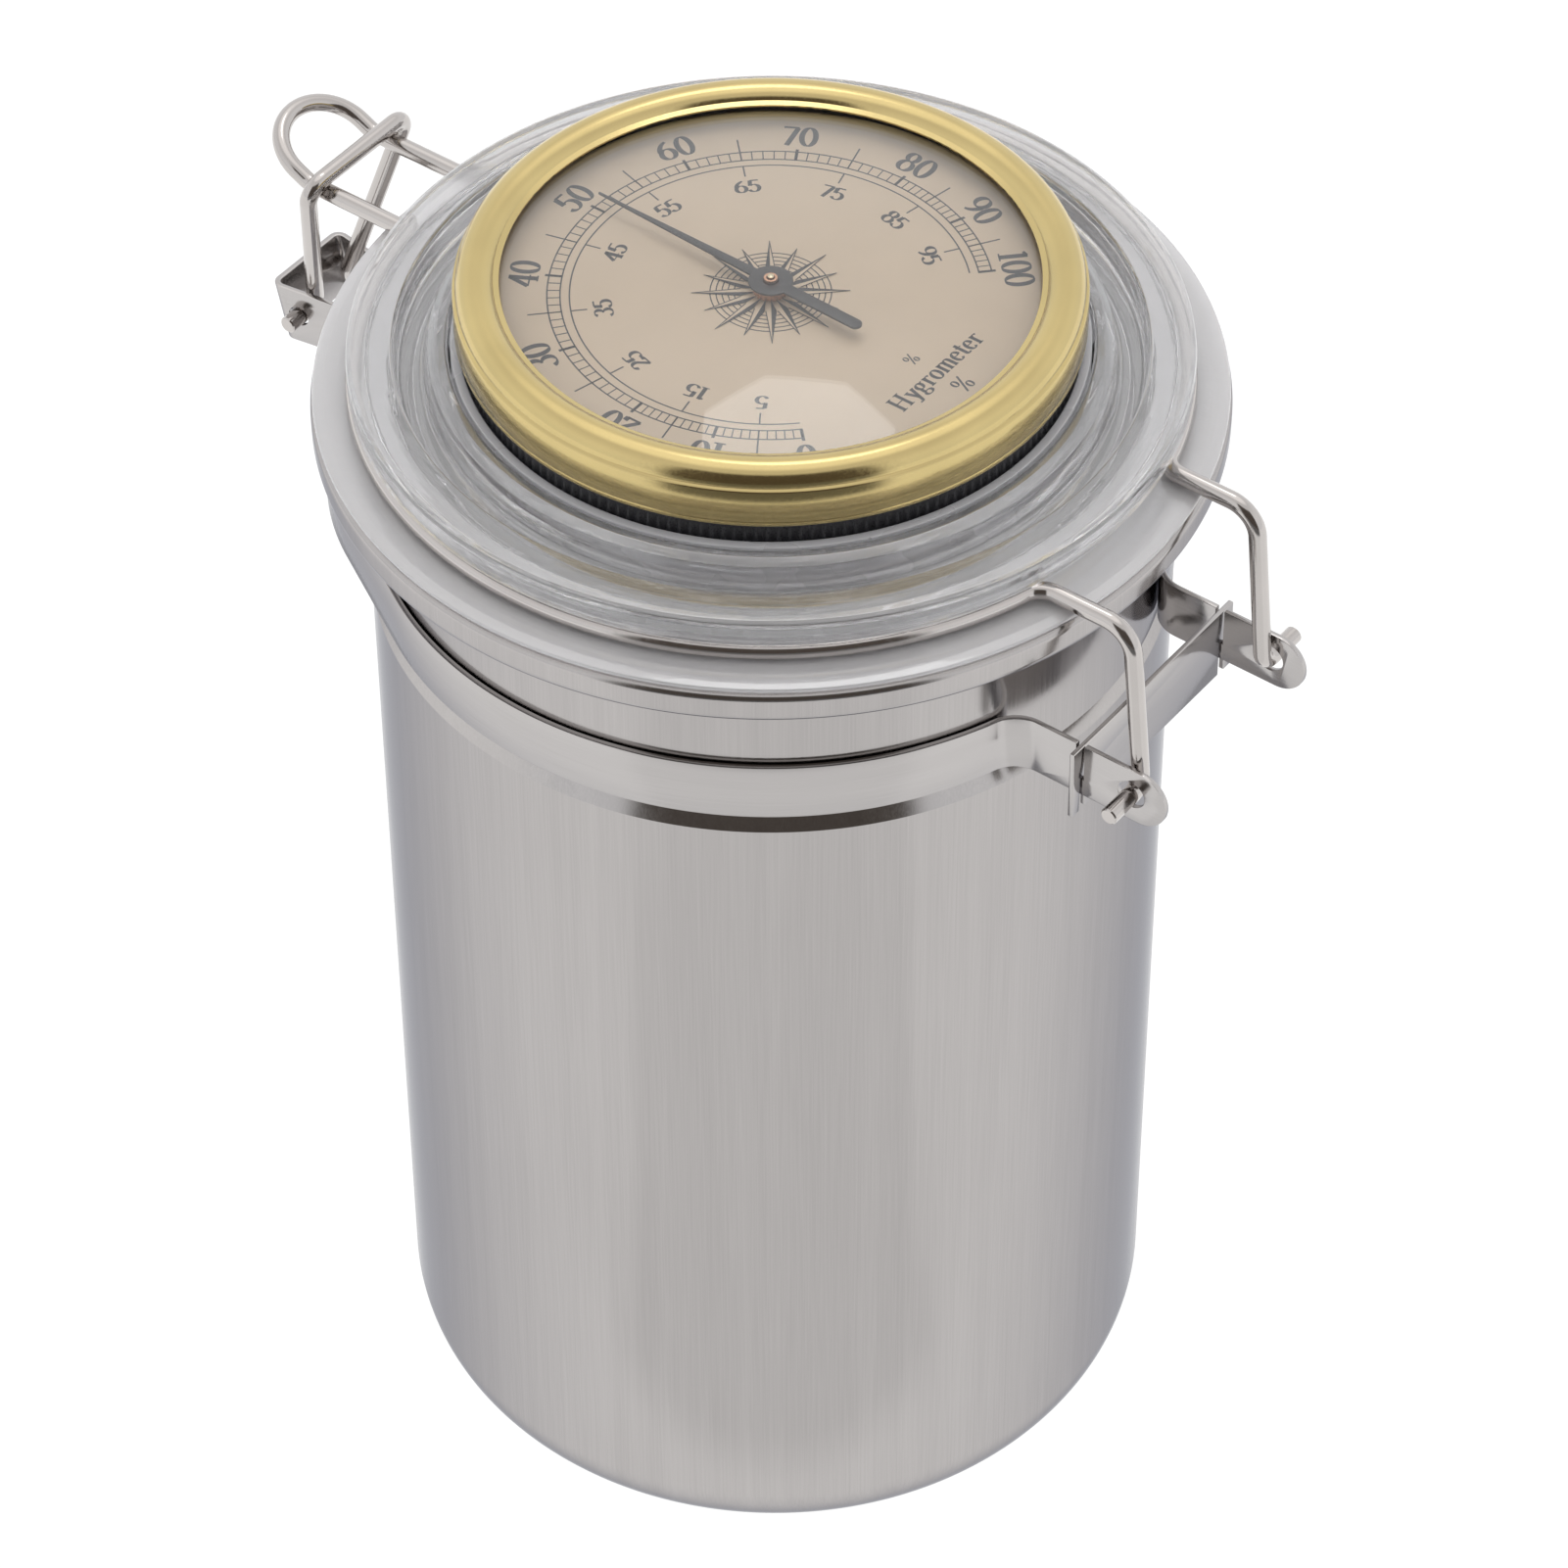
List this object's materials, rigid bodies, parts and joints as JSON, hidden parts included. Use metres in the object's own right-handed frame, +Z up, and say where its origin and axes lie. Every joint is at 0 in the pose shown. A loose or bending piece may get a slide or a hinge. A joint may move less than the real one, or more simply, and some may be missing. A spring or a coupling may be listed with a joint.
{
  "type": "storage canister with dial hygrometer",
  "caption": "Tall steel canister with a clear wire-clamped lid that holds a round dial hygrometer with a brass-coloured bezel.",
  "frame": {"origin": "centre of the canister's flat base", "axes": "+Z up along the canister's axis, -Y towards the latch, +Y towards the hinge, the hinge and latch axes along X"},
  "size_m": [0.1248, 0.1618, 0.2026],
  "materials": {
    "steel": "satin brushed",
    "wire": "bright drawn wire",
    "acrylic": "clear moulded plastic",
    "silicone": "clear soft silicone",
    "brass": "polished",
    "glass": "clear domed",
    "rubber": "matte black",
    "black_plastic": "moulded",
    "dial": "satin beige print",
    "needle": "dark grey paint",
    "copper": "copper coloured",
    "movement": "plain stamped metal"
  },
  "bodies": {
    "jar": {"jar_body": "steel", "neck_strap": "steel", "tie_plate": "steel"},
    "bail": {"bail_wire": "wire"},
    "lid": {"lid_wire": "wire", "lid_shell": "acrylic", "lid_gasket": "silicone", "bezel": "brass", "crystal": "glass", "crystal_seal": "rubber", "spacer_ring": "black_plastic", "dial_plate": "dial", "mounting_sleeve": "rubber", "instrument_case": "black_plastic", "rear_cover": "black_plastic", "cover_screw_1": "movement", "cover_screw_2": "movement", "cover_screw_3": "movement", "upper_bush": "copper", "lower_bearing": "movement", "movement_bridge": "movement", "bridge_pillar_1": "movement", "bridge_pillar_2": "movement", "bridge_screw_1": "steel", "bridge_screw_2": "steel"},
    "calibrator": {"calibration_arm": "movement", "calibration_screw": "movement", "sensing_coil": "copper"},
    "needle": {"arbor": "movement", "pointer": "needle", "pointer_collet": "copper", "coil_collet": "movement"}
  },
  "joints": [
    {"name": "lid_hinge", "type": "hinge", "parent": "jar", "child": "lid", "pos_m": [0, 0.0715, 0.157], "axis": [-1, 0, 0], "range_deg": [0, 220]},
    {"name": "bail_pivot", "type": "hinge", "parent": "jar", "child": "bail", "pos_m": [0, -0.079, 0.157], "axis": [1, 0, 0], "range_deg": [0, 31]},
    {"name": "calibration", "type": "hinge", "parent": "lid", "child": "calibrator", "pos_m": [0, 0, 0.183], "axis": [0, 0, 1], "range_deg": [-15, 15]},
    {"name": "needle_turn", "type": "hinge", "parent": "calibrator", "child": "needle", "pos_m": [0, 0, 0.19], "axis": [0, 0, -1], "range_deg": [-136.8, 133.1]}
  ],
  "couplings": [
    {"joint": "bail_pivot", "follows": "lid_hinge", "ratio": 0.14}
  ]
}
